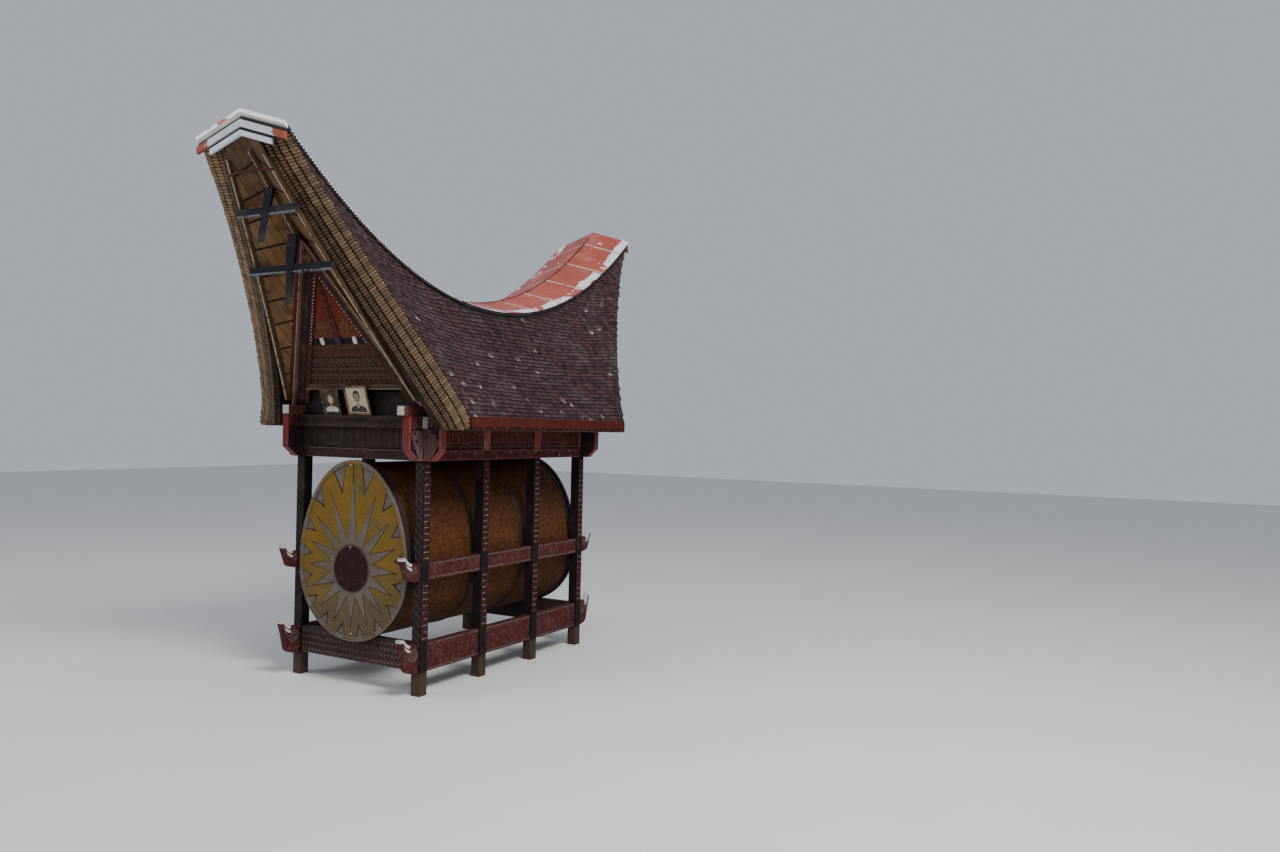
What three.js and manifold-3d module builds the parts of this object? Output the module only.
// A tongkonan: a carved Toraja house with a saddle roof, raised on posts.
// Millimetres, +Z up, the origin on the ground under the middle of the house, the front towards -Y.

import * as THREE from "three";
import { mergeVertices } from "three/addons/utils/BufferGeometryUtils.js";
import Module from "manifold-3d";

const wasm = await Module();
wasm.setup();

// Joints
const GAP = 0.3;
const OVERCUT = 50;

// Plan of the post cage, over the outer faces of the posts
const HALF_WIDTH = 1300;
const HALF_LENGTH = 2165;
const POST_SIDE = 160;
const BAYS = 3;
const FRONT = -HALF_LENGTH;

// Sills and side rails
const SILL_BOTTOM = 354;
const SILL_TOP = 764;
const SILL_THICKNESS = 120;
const SILL_SETBACK = 20;
const RAIL_THICKNESS = 100;
const LOW_RAIL = { bottom: 340, top: 764, tip: 870, reach: 375 };
const MIDDLE_RAIL = { bottom: 1680, top: 1940, tip: 2040, reach: 375 };

// Prows of the side rails, as shares of their reach, and the throat as a share of their height
const PROW = { shoulder: 0.25, heel: 0.5, crest: 0.33, lip: 0.17, hollow: 0.12, throat: 0.2 };

// Drum
const DRUM_CENTRE_Z = 1769;
const DRUM_HALF_WIDTH = 1060;
const DRUM_RISE = 1600;
const DRUM_SHELL = 45;
const DRUM_HALF_LENGTH = HALF_LENGTH + 30;
const DRUM_END_LIP = 38;
const DRUM_END_PLATE = 50;
const DRUM_END_RELIEF = 20;
const DRUM_RIM_WIDTH = 70;
const DRUM_HUB_RADIUS = 357;
const ARC_STEPS = 20;

// Raised box
const BOX_BOTTOM = 3430;
const BOX_TOP = 4080;
const BAND_TOP = 3580;
const BAND_RELIEF = 20;
const WALL_THICKNESS = 110;
const SIDE_WALL_OUTER = 1280;
const LAP_HEIGHT = 3755;
const FRONT_WING = 1600;
const FRONT_KEEL = 1450;
const SIDE_WING = HALF_LENGTH + 310;
const SIDE_KEEL = HALF_LENGTH + 120;
const RECESS_TOP = 4440;
const FLOOR_TOP = 3540;
const FLOOR_THICKNESS = 40;
const SHELF = { half: 1360, depth: 120, bottom: 3900, top: BOX_TOP };
const PLATE = { inner: 1100, outer: 1240, top: 4230, reach: HALF_LENGTH + 370 };

// Pictures on the shelf
const PICTURE_LEAN = THREE.MathUtils.degToRad(18.15);
const PICTURE_THICKNESS = 24;
const PICTURES = [
  { name: "picture_frame_left", centre: -430, width: 370, height: 390 },
  { name: "picture_frame_right", centre: 120, width: 460, height: 450 },
];

// Leaning gables: the plane of the frame's front face and its triangles
const GABLE_LEAN = Math.atan(0.475);
const GABLE_FOOT_Z = PLATE.top + GAP;
const GABLE_FOOT_Y = FRONT - 95;
const GABLE_FOOT_HALF = 1345;
const GABLE_APEX_Z = 6560;
const GABLE_FRAME = 100;
const GABLE_LEG = 300;
const LINTEL_BOTTOM = 4440;
const LINTEL_TOP = 4520;
const PANEL_BASE_HALF = 890;
const PANEL_APEX_Z = 6080;
const PANEL_THICKNESS = 40;
const PANEL_LAP = 60;

// Roof: the outer face runs from the eave to the cap, and rises to both tips
const EAVE_HALF = 2140;
const EAVE_Z = 4050;
const EAVE_CUT_Z = 3920;
const TOP_HALF = 830;
const OVERHANG = 2220;
const TIP_REACH = HALF_LENGTH + OVERHANG;
const RAKE_CURVE = 1.17;
const SLOPE_CURVE = 1.27;
const SADDLE_CURVE = 2.03;
const EAVE_TILT = THREE.MathUtils.degToRad(45);
const TILT_CURVE = 0.8;
const SHINGLE_DEPTH = 140;
const ROOF_DEPTH_EAVE = 600;
const ROOF_DEPTH_TOP = 450;
const ROOF_START = -0.15;
const SLOPE_STEPS = 12;
const LENGTH_STEPS = 20;
const EAVE_BOARD = { thickness: 30, bottom: 3900, top: 4090 };

// Ridge cap and tip boards
const CAP_HALF = 860;
const CAP_THICKNESS = 50;
const CAP_EDGE_MIDDLE = 5830;
const CAP_EDGE_TIP = 7710;
const CAP_RISE_MIDDLE = 200;
const CAP_RISE_TIP = 270;
const CAP_LIP = 50;
const CAP_SEAT = 1.5;
const TIP_BOARDS = [
  { half: 850, height: 125, thickness: 45 },
  { half: 700, height: 75, thickness: 36 },
  { half: 480, height: 50, thickness: 27 },
];
const TIP_BOARD_LAP = 1;

// Overhang lining: an outer edge by the bamboo and an inner edge by the gable and the purlin
const LINING_FOOT_Z = 4300;
const LINING_EDGE_TOP_Z = 7450;
const LINING_RIDGE_TOP_Z = 7640;
const LINING_THICKNESS = 30;
const LINING_NORMAL = new THREE.Vector3(0.6, 0, 0.8);
const LINING_EDGE = { z: 4200, half: 1350, y: FRONT - 133, taper: 0.36, bow: 0.000017, lean: 0.615 };
const LINING_LAP = 12;
const RIDGE_LAP = 5;
const LINING_STEPS = 12;
const STRIP = { width: 55, depth: 90, proud: 40 };
const PURLIN = { width: 70, height: 90, sink: 20, lean: 0.84 };

// Tie beams across the overhang, a little off its middle, each with a plank under the purlin that leans out
const TIES = [
  { name: "lower_tie_cross", z: 6090, half: 815, plankFoot: 5600, plankTop: 6570, lean: 0.05 },
  { name: "upper_tie_cross", z: 6800, half: 580, plankFoot: 6370, plankTop: 7130, lean: 0.19 },
];
const TIE = { thickness: 60, height: 110, aside: 60 };
const PLANK = { half: 50, thickness: 45 };

// Materials
const WOOD = { roughness: 0.8, metalness: 0 };
const darkCarved = { color: 0x33262a, ...WOOD };
const redCarved = { color: 0x5c2320, ...WOOD };
const plainWood = { color: 0x6b5138, ...WOOD };
const bamboo = { color: 0xa3855a, ...WOOD };
const lining = { color: 0x9c7a52, ...WOOD };
const slateBlue = { color: 0x3c434e, ...WOOD };
const shingle = { color: 0x4a3a45, roughness: 0.9, metalness: 0 };
const paintedDrum = { color: 0xa8773a, roughness: 0.75, metalness: 0 };
const rustySheet = { color: 0x8a4a3a, roughness: 0.7, metalness: 0.5 };
const cream = { color: 0xd8cdb2, roughness: 0.6, metalness: 0 };

const house = new THREE.Group();

function place(name, geometry, look) {
  const mesh = new THREE.Mesh(geometry, new THREE.MeshStandardMaterial(look));
  mesh.name = name;
  house.add(mesh);
  return mesh;
}

// Places a piece at the front, and the same piece turned half round at the rear.
function placeBothEnds(name, geometry, look) {
  place(`${name}_front`, geometry, look);
  place(`${name}_rear`, geometry.clone().rotateZ(Math.PI), look);
}

const mix = THREE.MathUtils.lerp;

// Shape helpers
function box(x0, x1, y0, y1, z0, z1) {
  const geometry = new THREE.BoxGeometry(x1 - x0, y1 - y0, z1 - z0);
  return geometry.translate((x0 + x1) / 2, (y0 + y1) / 2, (z0 + z1) / 2);
}

function outline(points) {
  return new THREE.Shape(points.map(([a, b]) => new THREE.Vector2(a, b)));
}

function extrude(shape, depth) {
  return new THREE.ExtrudeGeometry(shape, { depth, bevelEnabled: false, curveSegments: ARC_STEPS });
}

// A shape drawn in x and z, given its thickness along y.
function crosswise(shape, y0, y1) {
  return extrude(shape, y1 - y0).rotateX(Math.PI / 2).translate(0, y1, 0);
}

// A shape drawn in y and z, given its thickness along x.
function lengthwise(shape, x0, x1) {
  const turn = new THREE.Matrix4().makeBasis(
    new THREE.Vector3(0, 1, 0),
    new THREE.Vector3(0, 0, 1),
    new THREE.Vector3(1, 0, 0),
  );
  return extrude(shape, x1 - x0).applyMatrix4(turn).translate(x0, 0, 0);
}

function mergedOf(geometry) {
  const bare = geometry.clone();
  bare.deleteAttribute("normal");
  bare.deleteAttribute("uv");
  return mergeVertices(bare);
}

function solidOf(geometry) {
  const merged = mergedOf(geometry);
  return new wasm.Manifold(new wasm.Mesh({
    numProp: 3,
    vertProperties: new Float32Array(merged.attributes.position.array),
    triVerts: new Uint32Array(merged.index.array),
  }));
}

function geometryOf(solid) {
  const mesh = solid.getMesh();
  const geometry = new THREE.BufferGeometry();
  geometry.setAttribute("position", new THREE.BufferAttribute(mesh.vertProperties, 3));
  geometry.setIndex(new THREE.BufferAttribute(mesh.triVerts, 1));
  geometry.computeVertexNormals();
  return geometry;
}

function cut(geometry, ...cutters) {
  const left = cutters.reduce((body, cutter) => body.subtract(solidOf(cutter)), solidOf(geometry));
  return geometryOf(left);
}

function join(...geometries) {
  const [first, ...others] = geometries.map(solidOf);
  return geometryOf(others.reduce((body, other) => body.add(other), first));
}

function turnFacesOver(geometry) {
  const index = geometry.index;
  for (let i = 0; i < index.count; i += 3) {
    const first = index.getX(i);
    index.setX(i, index.getX(i + 1));
    index.setX(i + 1, first);
  }
  return geometry;
}

function mirrored(geometry) {
  return turnFacesOver(mergedOf(geometry).scale(-1, 1, 1));
}

function volumeOf(geometry) {
  const { index, attributes: { position } } = geometry;
  const corner = (i) => new THREE.Vector3().fromBufferAttribute(position, index.getX(i));
  let volume = 0;
  for (let i = 0; i < index.count; i += 3) {
    volume += corner(i).dot(corner(i + 1).cross(corner(i + 2))) / 6;
  }
  return volume;
}

// A box bent to a form: toPoint gives the place of a point at u, v, w, each from 0 to 1.
function bentBox(steps, toPoint) {
  const geometry = mergedOf(new THREE.BoxGeometry(1, 1, 1, ...steps));
  const positions = geometry.attributes.position;
  for (let i = 0; i < positions.count; i += 1) {
    const point = toPoint(positions.getX(i) + 0.5, positions.getY(i) + 0.5, positions.getZ(i) + 0.5);
    positions.setXYZ(i, point.x, point.y, point.z);
  }
  return volumeOf(geometry) < 0 ? turnFacesOver(geometry) : geometry;
}

// Posts, mortised for the side rails
function railMortises(x0, x1, reach) {
  return [LOW_RAIL, MIDDLE_RAIL].map((rail) => (
    box(x0 - GAP, x1 + GAP, -reach, reach, rail.bottom - GAP, rail.top + GAP)
  ));
}

function buildPosts() {
  const spacing = (2 * HALF_LENGTH - POST_SIDE) / BAYS;
  const centre = HALF_WIDTH - POST_SIDE / 2;
  const mortises = railMortises(centre - RAIL_THICKNESS / 2, centre + RAIL_THICKNESS / 2, 2 * HALF_LENGTH);
  const rows = ["front", "second", "third", "rear"];
  rows.forEach((row, i) => {
    const y0 = FRONT + i * spacing;
    const block = box(HALF_WIDTH - POST_SIDE, HALF_WIDTH, y0, y0 + POST_SIDE, 0, BOX_BOTTOM - GAP);
    const post = cut(block, ...mortises);
    place(`post_${row}_right`, post, darkCarved);
    place(`post_${row}_left`, mirrored(post), darkCarved);
  });
}

// Side rails with a prow at each end
function railOutline(rail) {
  const shape = new THREE.Shape();
  const prow = HALF_LENGTH + rail.reach;
  const shoulder = HALF_LENGTH + PROW.shoulder * rail.reach;
  const heel = HALF_LENGTH + PROW.heel * rail.reach;
  const crest = prow - PROW.crest * rail.reach;
  const lip = PROW.lip * rail.reach;
  const hollow = rail.top - PROW.hollow * rail.reach;
  const throat = mix(rail.bottom, rail.top, PROW.throat);
  shape.moveTo(-HALF_LENGTH, rail.bottom);
  shape.lineTo(HALF_LENGTH, rail.bottom);
  shape.quadraticCurveTo(heel, rail.bottom, heel + lip, throat);
  shape.quadraticCurveTo(prow - lip, hollow, prow, rail.tip);
  shape.lineTo(prow - lip, rail.tip);
  shape.quadraticCurveTo(crest, rail.top, shoulder, rail.top);
  shape.lineTo(-shoulder, rail.top);
  shape.quadraticCurveTo(-crest, rail.top, -prow + lip, rail.tip);
  shape.lineTo(-prow, rail.tip);
  shape.quadraticCurveTo(-prow + lip, hollow, -heel - lip, throat);
  shape.quadraticCurveTo(-heel, rail.bottom, -HALF_LENGTH, rail.bottom);
  return shape;
}

function buildRails() {
  const centre = HALF_WIDTH - POST_SIDE / 2;
  for (const [name, rail] of [["low_rail", LOW_RAIL], ["middle_rail", MIDDLE_RAIL]]) {
    const shape = railOutline(rail);
    const geometry = lengthwise(shape, centre - RAIL_THICKNESS / 2, centre + RAIL_THICKNESS / 2);
    place(`${name}_right`, geometry, redCarved);
    place(`${name}_left`, mirrored(geometry), redCarved);
  }
}

// Drum and the sills that it lies on
function egg(halfWidth, rise) {
  const shape = new THREE.Shape();
  shape.moveTo(halfWidth, DRUM_CENTRE_Z);
  shape.absellipse(0, DRUM_CENTRE_Z, halfWidth, rise, 0, Math.PI, false);
  shape.absarc(0, DRUM_CENTRE_Z, halfWidth, Math.PI, 2 * Math.PI, false);
  return shape;
}

function eggRing(halfWidth, rise, width) {
  const shape = egg(halfWidth, rise);
  shape.holes.push(egg(halfWidth - width, rise - width));
  return shape;
}

function buildSills() {
  const inner = HALF_WIDTH - POST_SIDE - GAP;
  const y0 = FRONT + SILL_SETBACK;
  const y1 = y0 + SILL_THICKNESS;
  const beam = box(-inner, inner, y0, y1, SILL_BOTTOM, SILL_TOP);
  const cradle = crosswise(egg(DRUM_HALF_WIDTH + GAP, DRUM_RISE + GAP), y0 - OVERCUT, y1 + OVERCUT);
  placeBothEnds("sill", cut(beam, cradle), darkCarved);
}

function buildDrum() {
  const shell = eggRing(DRUM_HALF_WIDTH, DRUM_RISE, DRUM_SHELL);
  place("drum_shell", crosswise(shell, -DRUM_HALF_LENGTH, DRUM_HALF_LENGTH), paintedDrum);
  const back = -DRUM_HALF_LENGTH - GAP;
  const face = back - DRUM_END_PLATE;
  const halfWidth = DRUM_HALF_WIDTH + DRUM_END_LIP;
  const rise = DRUM_RISE + DRUM_END_LIP;
  const plate = crosswise(egg(halfWidth, rise), face, back);
  const rim = crosswise(eggRing(halfWidth, rise, DRUM_RIM_WIDTH), face - DRUM_END_RELIEF, back);
  const hub = new THREE.CylinderGeometry(DRUM_HUB_RADIUS, DRUM_HUB_RADIUS, DRUM_END_PLATE, 2 * ARC_STEPS);
  hub.translate(0, face - DRUM_END_RELIEF + DRUM_END_PLATE / 2, DRUM_CENTRE_Z);
  placeBothEnds("drum_end", join(plate, rim, hub), paintedDrum);
}

// Raised box, its end and side walls halved over each other at the corners
function buildEndWalls() {
  const lapInner = SIDE_WALL_OUTER - WALL_THICKNESS - GAP;
  const lapOuter = SIDE_WALL_OUTER + GAP;
  const lap = LAP_HEIGHT + GAP / 2;
  const recess = PLATE.inner - GAP;
  const right = [
    [lapInner, BOX_BOTTOM],
    [lapInner, lap],
    [lapOuter, lap],
    [lapOuter, BOX_BOTTOM],
    [FRONT_KEEL, BOX_BOTTOM],
    [FRONT_WING, BAND_TOP],
    [FRONT_WING, EAVE_CUT_Z - GAP],
    [HALF_WIDTH, EAVE_CUT_Z - GAP],
    [HALF_WIDTH, BOX_TOP],
    [recess, BOX_TOP],
    [recess, RECESS_TOP],
  ];
  const left = right.map(([x, z]) => [-x, z]).reverse();
  const wall = crosswise(outline([...right, ...left]), FRONT, FRONT + WALL_THICKNESS);
  const band = box(-lapInner, lapInner, FRONT - BAND_RELIEF, FRONT + OVERCUT, BOX_BOTTOM, BAND_TOP);
  placeBothEnds("end_wall", join(wall, band), darkCarved);
}

function buildSideWalls() {
  const shelfSlot = FRONT - SHELF.depth - GAP;
  const lapFront = FRONT - GAP;
  const lapBack = FRONT + WALL_THICKNESS + GAP;
  const lap = LAP_HEIGHT - GAP / 2;
  const front = [
    [lapBack, BOX_TOP],
    [lapBack, lap],
    [lapFront, lap],
    [lapFront, SHELF.bottom - GAP],
    [shelfSlot, SHELF.bottom - GAP],
    [shelfSlot, BOX_TOP],
    [-SIDE_WING, BOX_TOP],
    [-SIDE_WING, BAND_TOP],
    [-SIDE_KEEL, BOX_BOTTOM],
  ];
  const rear = front.map(([y, z]) => [-y, z]).reverse();
  const inner = SIDE_WALL_OUTER - WALL_THICKNESS;
  const wall = lengthwise(outline([...front, ...rear]), inner, SIDE_WALL_OUTER);
  const bandReach = HALF_LENGTH - WALL_THICKNESS;
  const bandOuter = SIDE_WALL_OUTER + BAND_RELIEF;
  const band = box(SIDE_WALL_OUTER - OVERCUT, bandOuter, -bandReach, bandReach, BOX_BOTTOM, BAND_TOP);
  const right = join(wall, band);
  place("side_wall_right", right, redCarved);
  place("side_wall_left", mirrored(right), redCarved);
}

function buildFloor() {
  const halfWidth = SIDE_WALL_OUTER - WALL_THICKNESS - GAP;
  const halfLength = HALF_LENGTH - WALL_THICKNESS - GAP;
  const floor = box(-halfWidth, halfWidth, -halfLength, halfLength, FLOOR_TOP - FLOOR_THICKNESS, FLOOR_TOP);
  place("floor", floor, plainWood);
}

function buildShelves() {
  const shelf = box(-SHELF.half, SHELF.half, FRONT - SHELF.depth, FRONT - GAP, SHELF.bottom, SHELF.top);
  placeBothEnds("shelf_beam", shelf, plainWood);
}

function buildPictures() {
  for (const picture of PICTURES) {
    const frame = box(-picture.width / 2, picture.width / 2, 0, PICTURE_THICKNESS, 0, picture.height);
    frame.rotateX(PICTURE_LEAN);
    const foot = SHELF.top + GAP;
    frame.translate(picture.centre, FRONT - SHELF.depth + PICTURE_THICKNESS / 4, foot);
    place(picture.name, frame, cream);
  }
}

// Roof faces
function roofPoint(s, t, depth) {
  const reach = HALF_LENGTH + OVERHANG * Math.max(s, 0) ** RAKE_CURVE;
  const x = TOP_HALF + (EAVE_HALF - TOP_HALF) * (1 - s) ** SLOPE_CURVE;
  const seat = 1 - TOP_HALF / CAP_HALF;
  const topMiddle = CAP_EDGE_MIDDLE + CAP_RISE_MIDDLE * seat - CAP_SEAT;
  const topTip = CAP_EDGE_TIP + CAP_RISE_TIP * seat - CAP_SEAT;
  const middle = mix(EAVE_Z, topMiddle, s);
  const tip = mix(EAVE_Z, topTip, s);
  const z = mix(middle, tip, Math.abs(t) ** SADDLE_CURVE);
  const tilt = EAVE_TILT * (1 - s) ** TILT_CURVE;
  return new THREE.Vector3(x - depth * Math.cos(tilt), t * reach, z - depth * Math.sin(tilt));
}

function roofDepth(s) {
  return mix(ROOF_DEPTH_EAVE, ROOF_DEPTH_TOP, s);
}

// The slab between two depths below the outer face, each given as a function of the height s.
function roofSlab(firstDepth, secondDepth) {
  return bentBox([SLOPE_STEPS, LENGTH_STEPS, 1], (u, v, w) => {
    const s = mix(ROOF_START, 1, u);
    return roofPoint(s, mix(-1, 1, v), mix(firstDepth(s), secondDepth(s), w));
  });
}

function eaveTrims() {
  const far = 2 * TIP_REACH;
  const low = EAVE_CUT_Z - EAVE_HALF;
  return [
    box(0, 2 * EAVE_HALF, -far, far, low, EAVE_CUT_Z),
    box(EAVE_HALF - EAVE_BOARD.thickness / 2 - GAP, 2 * EAVE_HALF, -far, far, low, EAVE_Z + OVERCUT),
  ];
}

function buildRoof() {
  const skinDepth = () => SHINGLE_DEPTH - GAP;
  const bedDepth = () => SHINGLE_DEPTH;
  const skin = cut(roofSlab(skinDepth, () => 0), ...eaveTrims());
  const bed = cut(roofSlab(bedDepth, roofDepth), ...eaveTrims());
  place("shingles_right", skin, shingle);
  place("shingles_left", mirrored(skin), shingle);
  place("bamboo_bed_right", bed, bamboo);
  place("bamboo_bed_left", mirrored(bed), bamboo);
  const x0 = EAVE_HALF - EAVE_BOARD.thickness / 2;
  const x1 = x0 + EAVE_BOARD.thickness;
  const board = box(x0, x1, -HALF_LENGTH, HALF_LENGTH, EAVE_BOARD.bottom, EAVE_BOARD.top);
  place("eave_board_right", board, redCarved);
  place("eave_board_left", mirrored(board), redCarved);
}

// Wall plates, their upper outer edge cut to the underside of the roof
function buildPlates() {
  const beam = box(PLATE.inner, PLATE.outer, -PLATE.reach, PLATE.reach, BOX_TOP + GAP, PLATE.top);
  const underside = roofSlab(() => SHINGLE_DEPTH, (s) => roofDepth(s) + GAP);
  const plate = cut(beam, underside);
  place("wall_plate_right", plate, redCarved);
  place("wall_plate_left", mirrored(plate), redCarved);
}

// Ridge cap, a shallow sheet-metal fold over the whole length
function capPoint(t, across, lift) {
  const bend = Math.abs(t) ** SADDLE_CURVE;
  const edge = mix(CAP_EDGE_MIDDLE, CAP_EDGE_TIP, bend);
  const rise = mix(CAP_RISE_MIDDLE, CAP_RISE_TIP, bend);
  const z = edge + rise * (1 - Math.abs(across)) + lift;
  return new THREE.Vector3(across * CAP_HALF, t * TIP_REACH, z);
}

function buildCap() {
  const steps = LENGTH_STEPS + 2;
  const end = 1 + CAP_LIP / TIP_REACH;
  const cap = bentBox([2, steps, 1], (u, v, w) => {
    const step = Math.round(v * steps) - 1;
    const t = Math.max(-end, Math.min(end, mix(-1, 1, step / LENGTH_STEPS)));
    return capPoint(t, mix(-1, 1, u), w * CAP_THICKNESS);
  });
  place("ridge_cap", cap, rustySheet);
}

function chevron(half, top, height) {
  const fall = (CAP_RISE_TIP * half) / CAP_HALF;
  return outline([[-half, top - fall], [-half, top - fall - height], [0, top - height],
    [half, top - fall - height], [half, top - fall], [0, top]]);
}

function buildTipBoards() {
  const back = -TIP_REACH - GAP;
  let top = CAP_EDGE_TIP + CAP_RISE_TIP - GAP;
  const boards = TIP_BOARDS.map((board) => {
    const shape = chevron(board.half, top, board.height);
    top -= board.height - TIP_BOARD_LAP;
    return crosswise(shape, back - board.thickness, back);
  });
  placeBothEnds("tip_boards", join(...boards), rustySheet);
}

// Gables, leaning outwards over the end walls
function inGablePlane(shape, thickness, setback) {
  const geometry = extrude(shape, thickness);
  geometry.translate(0, 0, -setback - thickness);
  geometry.rotateX(Math.PI / 2 + GABLE_LEAN);
  return geometry.translate(0, GABLE_FOOT_Y, GABLE_FOOT_Z);
}

function upSlope(z) {
  return (z - GABLE_FOOT_Z) / Math.cos(GABLE_LEAN);
}

function gableHalf(z) {
  return (GABLE_FOOT_HALF * (GABLE_APEX_Z - z)) / (GABLE_APEX_Z - GABLE_FOOT_Z);
}

function buildGables() {
  const foot = gableHalf(GABLE_FOOT_Z);
  const legTop = gableHalf(LINTEL_BOTTOM) - GABLE_LEG;
  const frame = outline([
    [-foot, 0],
    [-foot + GABLE_LEG, 0],
    [-legTop, upSlope(LINTEL_BOTTOM)],
    [legTop, upSlope(LINTEL_BOTTOM)],
    [foot - GABLE_LEG, 0],
    [foot, 0],
    [0, upSlope(GABLE_APEX_Z)],
  ]);
  const opening = [[-PANEL_BASE_HALF, upSlope(LINTEL_TOP)], [PANEL_BASE_HALF, upSlope(LINTEL_TOP)],
    [0, upSlope(PANEL_APEX_Z)]];
  frame.holes.push(outline(opening));
  placeBothEnds("gable_frame", inGablePlane(frame, GABLE_FRAME, 0), redCarved);
  const panel = outline([
    [-PANEL_BASE_HALF - PANEL_LAP, upSlope(LINTEL_TOP) - PANEL_LAP],
    [PANEL_BASE_HALF + PANEL_LAP, upSlope(LINTEL_TOP) - PANEL_LAP],
    [0, upSlope(PANEL_APEX_Z) + PANEL_LAP],
  ]);
  placeBothEnds("gable_panel", inGablePlane(panel, PANEL_THICKNESS, GABLE_FRAME + GAP), redCarved);
}

// Overhang lining, its outer edge strips and the purlin under its ridge
function gableY(z) {
  return GABLE_FOOT_Y - (z - GABLE_FOOT_Z) * Math.tan(GABLE_LEAN);
}

function liningEdge(z) {
  const up = z - LINING_EDGE.z;
  const half = LINING_EDGE.half - LINING_EDGE.taper * up + LINING_EDGE.bow * up * up;
  return new THREE.Vector3(half, LINING_EDGE.y - LINING_EDGE.lean * up, z);
}

function purlinY(z) {
  return gableY(GABLE_APEX_Z) - PURLIN.lean * (z - GABLE_APEX_Z);
}

// The lining follows the gable frame's edge up to its apex, and the purlin from there on.
function liningRidge(z) {
  if (z < GABLE_APEX_Z) {
    return new THREE.Vector3(gableHalf(z) + LINING_LAP, gableY(z) + GABLE_FRAME / 2, z);
  }
  return new THREE.Vector3(-RIDGE_LAP, purlinY(z), z);
}

function buildLining() {
  const sheet = bentBox([LINING_STEPS, 2, 1], (u, v, w) => {
    const edge = liningEdge(mix(LINING_FOOT_Z, LINING_EDGE_TOP_Z, u));
    const ridge = liningRidge(mix(LINING_FOOT_Z, LINING_RIDGE_TOP_Z, u));
    return edge.lerp(ridge, v).addScaledVector(LINING_NORMAL, w * LINING_THICKNESS);
  });
  const strip = bentBox([LINING_STEPS, 1, 1], (u, v, w) => {
    const edge = liningEdge(mix(LINING_FOOT_Z, LINING_EDGE_TOP_Z, u));
    return edge.add(new THREE.Vector3((v - 0.5) * STRIP.width, w * STRIP.depth - STRIP.proud, 0));
  });
  const purlin = bentBox([1, 1, 1], (u, v, w) => {
    const z = mix(GABLE_APEX_Z + PURLIN.height, LINING_RIDGE_TOP_Z, w);
    return new THREE.Vector3((u - 0.5) * PURLIN.width, purlinY(z), z + PURLIN.sink - v * PURLIN.height);
  });
  placeBothEnds("overhang_lining", join(sheet, mirrored(sheet), strip, mirrored(strip), purlin), lining);
}

function buildTies() {
  for (const tie of TIES) {
    const top = tie.z + TIE.height / 2;
    const back = liningEdge(top).y - STRIP.proud - GAP;
    const left = TIE.aside - tie.half;
    const beam = box(left, left + 2 * tie.half, back - TIE.thickness, back, top - TIE.height, top);
    const plankBack = back - TIE.thickness / 2;
    const plank = bentBox([1, 1, 1], (u, v, w) => {
      const z = mix(tie.plankFoot, tie.plankTop, w);
      const y = plankBack - (1 - v) * PLANK.thickness + tie.lean * (z - tie.z);
      return new THREE.Vector3(TIE.aside + (2 * u - 1) * PLANK.half, y, z);
    });
    placeBothEnds(tie.name, join(beam, plank), slateBlue);
  }
}

buildPosts();
buildRails();
buildSills();
buildDrum();
buildEndWalls();
buildSideWalls();
buildFloor();
buildShelves();
buildPictures();
buildRoof();
buildPlates();
buildCap();
buildTipBoards();
buildGables();
buildLining();
buildTies();

export default house;
